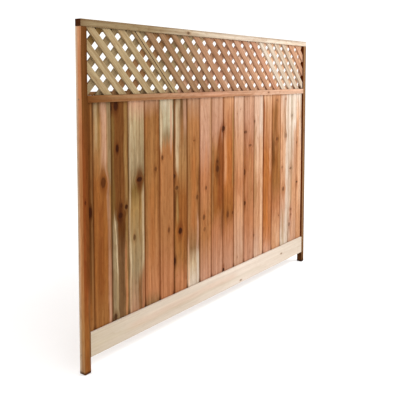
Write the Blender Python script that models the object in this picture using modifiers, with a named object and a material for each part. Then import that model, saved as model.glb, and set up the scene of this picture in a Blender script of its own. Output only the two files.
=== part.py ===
"""Lattice-top fence panel: a light wooden frame with upright tongue-and-groove boards
below a mid rail and a diagonal lattice above it.

Metres, +Z up. The front faces -Y and the origin is the bottom centre of the panel.
"""

import math

import bmesh
import bpy
from mathutils import Matrix, Vector

# Whole panel
PANEL_WIDTH = 2.438
PANEL_HEIGHT = 1.829
FRAME_DEPTH = 0.041
FIT_GAP = 0.0003
EDGE_ROUNDING = 0.002

# Frame
POST_WIDTH = 0.041
CAP_HEIGHT = 0.037
MID_RAIL_HEIGHT = 0.037
BOTTOM_RAIL_HEIGHT = 0.038
FOOT_HEIGHT = 0.082
KICKBOARD_HEIGHT = 0.130
KICKBOARD_THICKNESS = 0.013

# Upright boards
BOARD_COVER = 0.131
BOARD_THICKNESS = 0.016
TONGUE_LENGTH = 0.006
TONGUE_THICKNESS = 0.005
V_CHAMFER = 0.003
STARTER_COVER = 0.043
NARROWEST_LAST = 0.020

# Nailing strips behind the boards
CLEAT_WIDTH = 0.026
BATTEN_WIDTH = 0.064
BATTEN_HEIGHT = 0.790

# Lattice
LATTICE_OPENING = 0.347
LATTICE_SETBACK = 0.009
SLAT_WIDTH = 0.040
SLAT_THICKNESS = 0.0125
SLAT_PITCH = 0.0787
SLAT_BITE = 0.0005
FIRST_HOLE_ACROSS = 0.0725
FIRST_HOLE_UP = 0.0255
LATTICE_STOP_WIDTH = 0.018

# Screws
SCREW_HEAD_RADIUS = 0.0042
SCREW_HEAD_HEIGHT = 0.0036
SCREW_SHANK_RADIUS = 0.0021
SCREW_POINT = 0.007
SCREW_HEAD_SINK = 0.0005
FRAME_SCREW_LENGTH = 0.075
KICK_SCREW_LENGTH = 0.036
KICK_SCREW_COUNT = 6
KICK_SCREW_END = 0.120
SCREW_SIDES = 12
CUTTER_STAND = 0.001

# Places that follow from the sizes above
HALF_WIDTH = PANEL_WIDTH / 2
INNER_HALF = HALF_WIDTH - POST_WIDTH
FRONT = -FRAME_DEPTH / 2
BACK = FRAME_DEPTH / 2
CAP_BOTTOM = PANEL_HEIGHT - CAP_HEIGHT
MID_RAIL_TOP = CAP_BOTTOM - LATTICE_OPENING
MID_RAIL_BOTTOM = MID_RAIL_TOP - MID_RAIL_HEIGHT
BOTTOM_RAIL_TOP = FOOT_HEIGHT + BOTTOM_RAIL_HEIGHT
BOARD_FRONT = FRONT + KICKBOARD_THICKNESS + FIT_GAP
BOARD_BACK = BOARD_FRONT + BOARD_THICKNESS
BOARD_BOTTOM = BOTTOM_RAIL_TOP + FIT_GAP
BOARD_TOP = MID_RAIL_BOTTOM - FIT_GAP
LATTICE_FRONT = FRONT + LATTICE_SETBACK
LATTICE_BACK = LATTICE_FRONT + 2 * SLAT_THICKNESS - SLAT_BITE

# Wood tones: red, green, blue as linear values
TONES = {
    "brown": (0.27, 0.13, 0.055),
    "olive": (0.33, 0.22, 0.105),
    "orange": (0.45, 0.19, 0.075),
    "cream": (0.66, 0.48, 0.30),
    "pink": (0.52, 0.27, 0.15),
    "tan": (0.47, 0.30, 0.16),
}
BOARD_TONES = (
    "brown", "olive", "olive", "orange", "cream", "tan", "orange", "pink", "pink",
    "orange", "pink", "tan", "pink", "orange", "brown", "orange", "cream", "pink",
)
WOOD_ROUGHNESS = 0.72
SCREW_GREY = (0.42, 0.40, 0.36)
SCREW_ROUGHNESS = 0.38


def clear_scene():
    for obj in list(bpy.data.objects):
        bpy.data.objects.remove(obj, do_unlink=True)


def make_collection(name):
    collection = bpy.data.collections.new(name)
    bpy.context.scene.collection.children.link(collection)
    return collection


def make_material(name, colour, roughness, metallic):
    material = bpy.data.materials.new(name)
    material.use_nodes = True
    shader = material.node_tree.nodes["Principled BSDF"]
    shader.inputs["Base Color"].default_value = (*colour, 1.0)
    shader.inputs["Roughness"].default_value = roughness
    shader.inputs["Metallic"].default_value = metallic
    return material


def wood(name, tone):
    return make_material(name + "_wood", TONES[tone], WOOD_ROUGHNESS, 0.0)


def add_object(name, data, material, collection):
    obj = bpy.data.objects.new(name, data)
    if material is not None:
        data.materials.append(material)
    collection.objects.link(obj)
    return obj


def add_bevel(obj, width):
    bevel = obj.modifiers.new("eased_edges", "BEVEL")
    bevel.width = width
    bevel.segments = 2
    bevel.limit_method = "ANGLE"


def add_boolean(obj, operation, other):
    boolean = obj.modifiers.new(operation.lower() + "_" + other.name, "BOOLEAN")
    boolean.operation = operation
    boolean.solver = "EXACT"
    boolean.object = other


def as_cutter(obj):
    obj.hide_render = True
    obj.display_type = "WIRE"


def box(name, low, high, material, collection, rounding=0.0):
    """A box between two corners, with its object at the middle."""
    low = Vector(low)
    high = Vector(high)
    mesh = bpy.data.meshes.new(name)
    solid = bmesh.new()
    bmesh.ops.create_cube(solid, size=1.0)
    bmesh.ops.scale(solid, vec=high - low, verts=solid.verts)
    solid.to_mesh(mesh)
    solid.free()
    obj = add_object(name, mesh, material, collection)
    obj.location = (low + high) / 2
    if rounding > 0.0:
        add_bevel(obj, rounding)
    return obj


def extruded_outline(name, outline, bottom, top, material, collection):
    """An upright board from its plan outline, given counter-clockwise in X and Y."""
    curve = bpy.data.curves.new(name, "CURVE")
    curve.dimensions = "2D"
    curve.fill_mode = "BOTH"
    curve.extrude = (top - bottom) / 2
    spline = curve.splines.new("POLY")
    spline.points.add(len(outline) - 1)
    for point, (x, y) in zip(spline.points, outline):
        point.co = (x, y, 0.0, 1.0)
    spline.use_cyclic_u = True
    obj = add_object(name, curve, material, collection)
    obj.location.z = (bottom + top) / 2
    return obj


def board_outline(left, cover, has_groove, has_tongue):
    """Plan of one board: V chamfers in front, a groove on its left, a tongue on its right."""
    right = left + cover - FIT_GAP
    middle = (BOARD_FRONT + BOARD_BACK) / 2
    tongue_front = middle - TONGUE_THICKNESS / 2
    tongue_back = middle + TONGUE_THICKNESS / 2
    outline = [
        (left, BOARD_FRONT + V_CHAMFER),
        (left + V_CHAMFER, BOARD_FRONT),
        (right - V_CHAMFER, BOARD_FRONT),
        (right, BOARD_FRONT + V_CHAMFER),
    ]
    if has_tongue:
        outline += [
            (right, tongue_front),
            (right + TONGUE_LENGTH, tongue_front),
            (right + TONGUE_LENGTH, tongue_back),
            (right, tongue_back),
        ]
    outline += [(right, BOARD_BACK), (left, BOARD_BACK)]
    if has_groove:
        outline += [
            (left, tongue_back + FIT_GAP),
            (left + TONGUE_LENGTH, tongue_back + FIT_GAP),
            (left + TONGUE_LENGTH, tongue_front - FIT_GAP),
            (left, tongue_front - FIT_GAP),
        ]
    return outline


def screw_profile(length, clearance, stand):
    """Half outline of a countersunk screw on +X, from the axis on top to its point.

    Zero is the face of the wood. The screw's own head lies a little below it, and the
    outline of its hole, which has a clearance, stands out of the face instead.
    """
    head = SCREW_HEAD_RADIUS + clearance
    shank = SCREW_SHANK_RADIUS + clearance
    seat = -SCREW_HEAD_SINK
    tip = seat - length - clearance
    profile = [(0.0, stand), (head, stand), (head, seat)] if stand > 0.0 else [(0.0, seat), (head, seat)]
    profile += [
        (shank, seat - SCREW_HEAD_HEIGHT - clearance),
        (shank, tip + SCREW_POINT),
        (0.0, tip),
    ]
    return profile


def turned(name, profile, material, collection):
    mesh = bpy.data.meshes.new(name)
    edges = [(i, i + 1) for i in range(len(profile) - 1)]
    mesh.from_pydata([(x, 0.0, z) for x, z in profile], edges, [])
    obj = add_object(name, mesh, material, collection)
    turn = obj.modifiers.new("turned", "SCREW")
    turn.axis = "Z"
    turn.steps = SCREW_SIDES
    turn.render_steps = SCREW_SIDES
    turn.use_merge_vertices = True
    turn.merge_threshold = 0.00001
    turn.use_smooth_shade = True
    return obj


def place_screw(name, head, direction, length, through, parts, cutters, metal):
    """A screw with its head sunk in a face, and its hole in each piece it goes through."""
    turn = (-Vector(direction)).to_track_quat("Z", "Y")
    screw = turned(name, screw_profile(length, 0.0, 0.0), metal, parts)
    hole = turned(name + "_hole", screw_profile(length, FIT_GAP, CUTTER_STAND), None, cutters)
    as_cutter(hole)
    for obj in (screw, hole):
        obj.location = head
        obj.rotation_mode = "QUATERNION"
        obj.rotation_quaternion = turn
    for piece in through:
        add_boolean(piece, "DIFFERENCE", hole)
    return screw


def build_frame(parts):
    """Two posts on feet, a cap over them, and a mid rail and bottom rail between them."""
    frame = {}
    for side, sign in (("left", -1), ("right", 1)):
        outer = sign * HALF_WIDTH
        inner = sign * INNER_HALF
        name = side + "_post"
        frame[name] = box(
            name,
            (min(outer, inner), FRONT, 0.0),
            (max(outer, inner), BACK, CAP_BOTTOM - FIT_GAP),
            wood(name, "orange"), parts, EDGE_ROUNDING)
    frame["cap_rail"] = box(
        "cap_rail",
        (-HALF_WIDTH, FRONT, CAP_BOTTOM),
        (HALF_WIDTH, BACK, PANEL_HEIGHT),
        wood("cap_rail", "tan"), parts, EDGE_ROUNDING)
    rail_half = INNER_HALF - FIT_GAP
    frame["mid_rail"] = box(
        "mid_rail",
        (-rail_half, FRONT, MID_RAIL_BOTTOM),
        (rail_half, BACK, MID_RAIL_TOP),
        wood("mid_rail", "pink"), parts, EDGE_ROUNDING)
    frame["bottom_rail"] = box(
        "bottom_rail",
        (-rail_half, FRONT + KICKBOARD_THICKNESS + FIT_GAP, FOOT_HEIGHT),
        (rail_half, BACK, BOTTOM_RAIL_TOP),
        wood("bottom_rail", "brown"), parts, EDGE_ROUNDING)
    frame["kickboard"] = box(
        "kickboard",
        (-rail_half, FRONT, FOOT_HEIGHT),
        (rail_half, FRONT + KICKBOARD_THICKNESS, FOOT_HEIGHT + KICKBOARD_HEIGHT),
        wood("kickboard", "cream"), parts, EDGE_ROUNDING)
    return frame


def build_boards(parts):
    """A narrow starter strip, full boards, each tongue in the next board's groove, and a
    last board ripped to the width that is left.
    """
    left = -INNER_HALF + FIT_GAP
    outline = board_outline(left, STARTER_COVER, False, True)
    extruded_outline("starter_strip", outline, BOARD_BOTTOM, BOARD_TOP,
                     wood("starter_strip", "brown"), parts)
    left += STARTER_COVER
    rest = INNER_HALF - left
    full_boards = int((rest - NARROWEST_LAST) / BOARD_COVER)
    covers = [BOARD_COVER] * full_boards + [rest - full_boards * BOARD_COVER]
    for index, cover in enumerate(covers):
        name = "board_%02d" % (index + 1)
        tone = BOARD_TONES[index % len(BOARD_TONES)]
        outline = board_outline(left, cover, True, index < full_boards)
        extruded_outline(name, outline, BOARD_BOTTOM, BOARD_TOP, wood(name, tone), parts)
        left += cover


def build_cleats(parts):
    """Nailing strips on the back of the boards, flush with the back of the frame."""
    near = BOARD_BACK + FIT_GAP
    side = INNER_HALF - FIT_GAP
    cleat_inner = side - CLEAT_WIDTH
    upper_low = BOARD_TOP - CLEAT_WIDTH
    lower_high = BOARD_BOTTOM + CLEAT_WIDTH
    batten_low = BATTEN_HEIGHT - BATTEN_WIDTH / 2
    batten_high = BATTEN_HEIGHT + BATTEN_WIDTH / 2
    spans = {
        "board_cleat_top": ((-side, upper_low), (side, BOARD_TOP)),
        "board_cleat_bottom": ((-side, BOARD_BOTTOM), (side, lower_high)),
        "board_cleat_left": ((-side, lower_high + FIT_GAP), (-cleat_inner, upper_low - FIT_GAP)),
        "board_cleat_right": ((cleat_inner, lower_high + FIT_GAP), (side, upper_low - FIT_GAP)),
        "back_batten": ((FIT_GAP - cleat_inner, batten_low), (cleat_inner - FIT_GAP, batten_high)),
    }
    for name, ((left, low), (right, high)) in spans.items():
        box(name, (left, near, low), (right, BACK, high), wood(name, "tan"), parts, EDGE_ROUNDING / 2)


def slat_lines(low_corner, high_corner, hole, slope):
    """Middle points and lengths of the slats of one slope that cross the opening.

    slope 1 falls to the right, where x + z is constant; slope -1 rises to the right.
    """
    left, low = low_corner
    right, high = high_corner
    step = SLAT_PITCH * math.sqrt(2)
    constant = hole[0] + slope * hole[1] + step / 2
    ends = sorted((left + slope * low, left + slope * high, right + slope * low, right + slope * high))
    first = math.floor((ends[0] - constant) / step)
    last = math.ceil((ends[-1] - constant) / step)
    lines = []
    for index in range(first, last + 1):
        value = constant + index * step
        reach = sorted((slope * (value - left), slope * (value - right)))
        bottom = max(low, reach[0])
        top = min(high, reach[1])
        length = (top - bottom) * math.sqrt(2)
        if length >= SLAT_PITCH:
            z = (bottom + top) / 2
            lines.append((value - slope * z, z, length))
    return lines


def slat_layer(name, slope, front, corners, hole, collection):
    """All the slats of one slope as one mesh, cut off at the edge of the opening."""
    mesh = bpy.data.meshes.new(name)
    slats = bmesh.new()
    for x, z, length in slat_lines(corners[0], corners[1], hole, slope):
        size = Vector((length + 2 * SLAT_WIDTH, SLAT_THICKNESS, SLAT_WIDTH))
        place = Matrix.Translation((x, front + SLAT_THICKNESS / 2, z))
        place = place @ Matrix.Rotation(slope * math.pi / 4, 4, "Y") @ Matrix.Diagonal((*size, 1.0))
        bmesh.ops.create_cube(slats, size=1.0, matrix=place)
    slats.to_mesh(mesh)
    slats.free()
    return add_object(name, mesh, None, collection)


def build_lattice(parts, cutters):
    """Two crossed layers of slats, and the stops behind them that hold them in the opening."""
    side = INNER_HALF - FIT_GAP
    low = MID_RAIL_TOP + FIT_GAP
    high = CAP_BOTTOM - FIT_GAP
    corners = ((-side, low), (side, high))
    hole = (-INNER_HALF + FIRST_HOLE_ACROSS, MID_RAIL_TOP + FIRST_HOLE_UP)
    edge = box(
        "lattice_edge",
        (-side, FRONT, low), (side, BACK, high),
        None, cutters)
    as_cutter(edge)
    rear_front = LATTICE_FRONT + SLAT_THICKNESS - SLAT_BITE
    rear = slat_layer("lattice_rear_slats", -1, rear_front, corners, hole, cutters)
    as_cutter(rear)
    add_boolean(rear, "INTERSECT", edge)
    panel = slat_layer("lattice_panel", 1, LATTICE_FRONT, corners, hole, parts)
    panel.data.materials.append(wood("lattice_panel", "tan"))
    add_boolean(panel, "INTERSECT", edge)
    add_boolean(panel, "UNION", rear)

    near = LATTICE_BACK + FIT_GAP
    stop = LATTICE_STOP_WIDTH
    upright_low = low + stop + FIT_GAP
    upright_high = high - stop - FIT_GAP
    spans = {
        "lattice_stop_top": ((-side, high - stop), (side, high)),
        "lattice_stop_bottom": ((-side, low), (side, low + stop)),
        "lattice_stop_left": ((-side, upright_low), (stop - side, upright_high)),
        "lattice_stop_right": ((side - stop, upright_low), (side, upright_high)),
    }
    for name, ((left, bottom), (right, top)) in spans.items():
        box(name, (left, near, bottom), (right, BACK, top), wood(name, "tan"), parts, EDGE_ROUNDING / 2)


def build_screws(frame, parts, cutters):
    """Frame screws through the cap and the posts, and the kickboard's screws from behind."""
    metal = make_material("screw_steel", SCREW_GREY, SCREW_ROUGHNESS, 1.0)
    for side, sign in (("left", -1), ("right", 1)):
        post = frame[side + "_post"]
        place_screw(
            "cap_screw_" + side,
            (sign * (HALF_WIDTH - POST_WIDTH / 2), 0.0, PANEL_HEIGHT), (0, 0, -1),
            FRAME_SCREW_LENGTH, (frame["cap_rail"], post), parts, cutters, metal)
        place_screw(
            "mid_rail_screw_" + side,
            (sign * HALF_WIDTH, 0.0, (MID_RAIL_BOTTOM + MID_RAIL_TOP) / 2), (-sign, 0, 0),
            FRAME_SCREW_LENGTH, (post, frame["mid_rail"]), parts, cutters, metal)
        rail_middle = (FRONT + KICKBOARD_THICKNESS + BACK) / 2
        place_screw(
            "bottom_rail_screw_" + side,
            (sign * HALF_WIDTH, rail_middle, FOOT_HEIGHT + BOTTOM_RAIL_HEIGHT / 2), (-sign, 0, 0),
            FRAME_SCREW_LENGTH, (post, frame["bottom_rail"]), parts, cutters, metal)
    first = -INNER_HALF + KICK_SCREW_END
    step = -2 * first / (KICK_SCREW_COUNT - 1)
    for index in range(KICK_SCREW_COUNT):
        place_screw(
            "kickboard_screw_%d" % (index + 1),
            (first + index * step, BACK, FOOT_HEIGHT + BOTTOM_RAIL_HEIGHT / 2), (0, -1, 0),
            KICK_SCREW_LENGTH, (frame["bottom_rail"], frame["kickboard"]), parts, cutters, metal)


def main():
    clear_scene()
    parts = make_collection("lattice_top_fence_panel")
    cutters = make_collection("cutters")
    frame = build_frame(parts)
    build_boards(parts)
    build_cleats(parts)
    build_lattice(parts, cutters)
    build_screws(frame, parts, cutters)


main()
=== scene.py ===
import math
from collections import namedtuple

import bmesh
import bpy
from mathutils import Matrix, Vector


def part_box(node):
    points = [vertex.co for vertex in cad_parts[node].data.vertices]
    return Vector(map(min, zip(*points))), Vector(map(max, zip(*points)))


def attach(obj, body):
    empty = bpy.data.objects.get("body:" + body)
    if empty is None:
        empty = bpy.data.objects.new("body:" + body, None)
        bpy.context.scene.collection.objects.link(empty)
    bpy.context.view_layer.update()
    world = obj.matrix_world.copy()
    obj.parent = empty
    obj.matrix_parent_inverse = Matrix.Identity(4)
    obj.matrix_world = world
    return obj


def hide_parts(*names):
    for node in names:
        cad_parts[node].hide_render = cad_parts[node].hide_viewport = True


# Looks of a lattice-top fence panel: its woods, slats, fastenings, floor, light and camera.
# Metres, +Z up, front towards -Y, as in the frame.

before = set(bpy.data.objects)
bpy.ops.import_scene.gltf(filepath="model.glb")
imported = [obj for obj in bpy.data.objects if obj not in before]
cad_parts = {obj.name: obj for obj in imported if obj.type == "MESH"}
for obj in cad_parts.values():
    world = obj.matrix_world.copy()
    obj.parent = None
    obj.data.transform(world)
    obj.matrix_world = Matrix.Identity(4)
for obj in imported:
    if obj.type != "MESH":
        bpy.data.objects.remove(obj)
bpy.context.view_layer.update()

# Lattice layout, as in the frame's lattice node
SLAT_WIDTH = 0.040
SLAT_THICKNESS = 0.0125
SLAT_PITCH = 0.0787
FIRST_HOLE_ACROSS = 0.0725
FIRST_HOLE_UP = 0.0255
SLAT_EDGE_ROUNDING = 0.0009

# Fastenings
NAIL_HEAD_RADIUS = 0.0032
NAIL_HEAD_HEIGHT = 0.0011
NAIL_FROM_MIDDLE = 0.030
NAIL_FROM_END = 0.030
STAPLE_LENGTH = 0.0115
STAPLE_WIRE = 0.0013
STAPLE_ROUNDING = STAPLE_WIRE * 0.3
STAPLE_TURN = 0.35
STAPLE_TURN_STEP = 2.4

# How strongly the grain shows on the plain pale kickboard and on the rear slats
PLAIN_FIGURE = 0.28
REAR_SLAT_FIGURE = 0.6

# Colours as seen in soft daylight, as sRGB, and the share of that light which the wood gives back
WOOD_ALBEDO = 0.66
TONES = {
    "white_cream": "fbecdd",
    "bone": "ecddcb",
    "stone": "dac9b0",
    "cream": "e0c8a4",
    "grey_cream": "ccc0a0",
    "pale_pink": "ebc4aa",
    "rose": "dcae90",
    "pink": "d4a184",
    "dusty_pink": "c29676",
    "fawn": "b18e6c",
    "salmon": "c9885c",
    "bright_peach": "ffd0aa",
    "light_peach": "f2c4a0",
    "peach": "dea67c",
    "caramel": "bb804e",
    "amber": "ad7540",
    "tan": "b58552",
    "dusty_tan": "a37a52",
    "weathered": "ab9672",
    "khaki_cream": "c4ae86",
    "olive_tan": "ae8a54",
    "olive": "8c6c38",
    "orange": "c4793e",
    "orange_brown": "a86a32",
    "red_brown": "985223",
    "brown": "835225",
    "grey_brown": "825f3c",
    "shaded_rust": "703208",
    "umber": "6c3e13",
    "dark_brown": "583212",
    "knot": "3c1803",
}

# A piece's colour along its grain, then its streaks and knots.
# u runs from 0 at the piece's left or lower edge to 1 at the other one. Heights and places along
# the grain are metres in the part's frame, and a rail's top and bottom are its right and left ends.
# groove is how dark the joints are, with painted shade beside them, side the colours of the left face
# (a painted highlight on the left post and painted shade on the right post), rim the tone that this face
# fades to at the back, and ledge the lighter tone of an upper face, a painted highlight from above.
Streak = namedtuple("Streak", "tone top_u bottom_u half_width top bottom strength")
Knot = namedtuple("Knot", "u z radius tall dark", defaults=(0.9,))
Wood = namedtuple("Wood", "ramp streaks knots groove side rim ledge", defaults=(0.0, None, None, None))

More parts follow.
